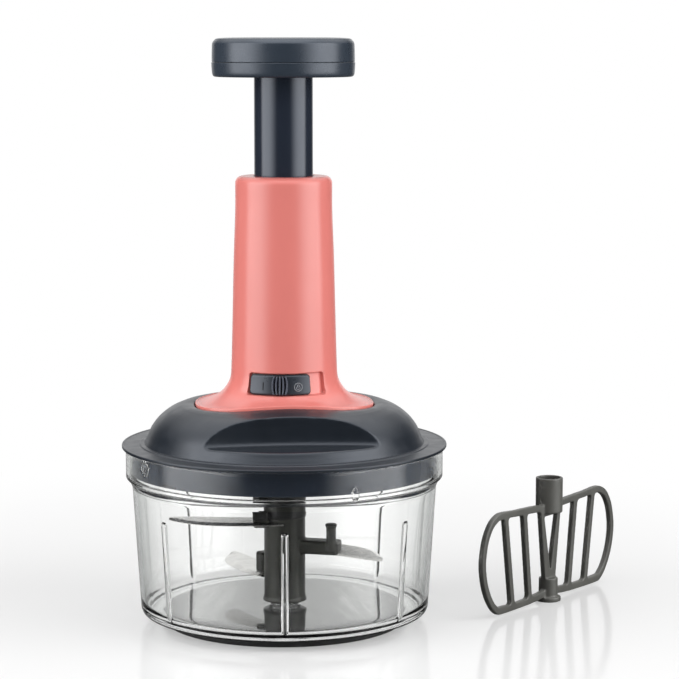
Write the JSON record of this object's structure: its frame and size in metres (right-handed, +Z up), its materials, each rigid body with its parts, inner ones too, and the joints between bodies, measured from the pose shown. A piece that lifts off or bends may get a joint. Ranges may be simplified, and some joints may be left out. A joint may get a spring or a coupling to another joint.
{
  "type": "vegetable chopper",
  "caption": "Free-standing hand-press vegetable chopper: clear round bowl, domed lid with finger recesses, coral tower with travel lock, round press knob, spinning blades and mixing paddle.",
  "frame": {"origin": "centre of the non-slip base, on the surface that the chopper stands on", "axes": "+Z up along the tower; -Y is the front, where the travel lock's slider is; the mixing paddle stands on the +X side"},
  "size_m": [0.2628, 0.1692, 0.2954],
  "materials": {
    "coral_plastic": "gloss",
    "dark_plastic": "semi-gloss",
    "grey_plastic": "satin",
    "clear_plastic": "clear gloss",
    "rubber": "matte",
    "nylon": "satin",
    "steel": "satin",
    "blade_steel": "polished"
  },
  "bodies": {
    "bowl": {"non_slip_base": "rubber", "bowl": "clear_plastic", "pivot_pin": "steel"},
    "seal": {"lid_gasket": "rubber"},
    "lid": {"lid_shell": "dark_plastic", "drive_cover": "dark_plastic", "tower_housing": "coral_plastic", "tower_screw_1": "steel", "tower_screw_2": "steel", "tower_screw_3": "steel", "tower_screw_4": "steel", "cover_screw_1": "steel", "cover_screw_2": "steel", "cover_screw_3": "steel", "plunger_guide": "nylon", "spring_guide": "nylon", "return_spring": "steel", "clutch_spring": "steel"},
    "plunger": {"plunger_tube": "dark_plastic", "knob_base": "dark_plastic", "knob_cap": "dark_plastic", "knob_screw": "steel", "rod_holder": "nylon", "twisted_drive_rod": "steel"},
    "nut": {"drive_nut": "nylon"},
    "output": {"output_coupling": "grey_plastic"},
    "lock": {"lock_slider": "dark_plastic"},
    "blades": {"blade_hub": "grey_plastic", "blade_upper": "blade_steel", "blade_middle": "blade_steel", "blade_lower": "blade_steel"},
    "paddle": {"mixing_paddle": "grey_plastic"}
  },
  "joints": [
    {"name": "lid_lift", "type": "slide", "parent": "bowl", "child": "seal", "axis": [0, 0, 1], "range_m": [0, 0.1]},
    {"name": "lid_turn", "type": "hinge", "parent": "seal", "child": "lid", "pos_m": [0, 0, 0.09], "axis": [0, 0, -1], "range_deg": [0, 15]},
    {"name": "plunger_press", "type": "slide", "parent": "lid", "child": "plunger", "axis": [0, 0, -1], "range_m": [0, 0.046], "stiffness_N_per_m": 350, "springref_m": -0.0114, "deforming": ["return_spring"]},
    {"name": "nut_spin", "type": "hinge", "parent": "lid", "child": "nut", "pos_m": [0, 0, 0.092], "axis": [0, 0, 1], "range_deg": [0, 560]},
    {"name": "output_spin", "type": "hinge", "parent": "lid", "child": "output", "pos_m": [0, 0, 0.08], "axis": [0, 0, 1], "range_deg": [0, 560]},
    {"name": "blade_spin", "type": "hinge", "parent": "bowl", "child": "blades", "pos_m": [0, 0, 0.03], "axis": [0, 0, 1], "range_deg": [0, 560]},
    {"name": "lock_turn", "type": "hinge", "parent": "lid", "child": "lock", "pos_m": [0, 0, 0.1236], "axis": [0, 0, 1], "range_deg": [0, 15]},
    {"name": "paddle_lift", "type": "slide", "parent": "bowl", "child": "paddle", "axis": [0, 0, 1], "range_m": [0, 0.06]}
  ],
  "couplings": [
    {"joint": "nut_spin", "follows": "plunger_press", "rad_per_m": 209.44},
    {"joint": "output_spin", "follows": "plunger_press", "rad_per_m": 209.44},
    {"joint": "blade_spin", "follows": "plunger_press", "rad_per_m": 209.44}
  ]
}
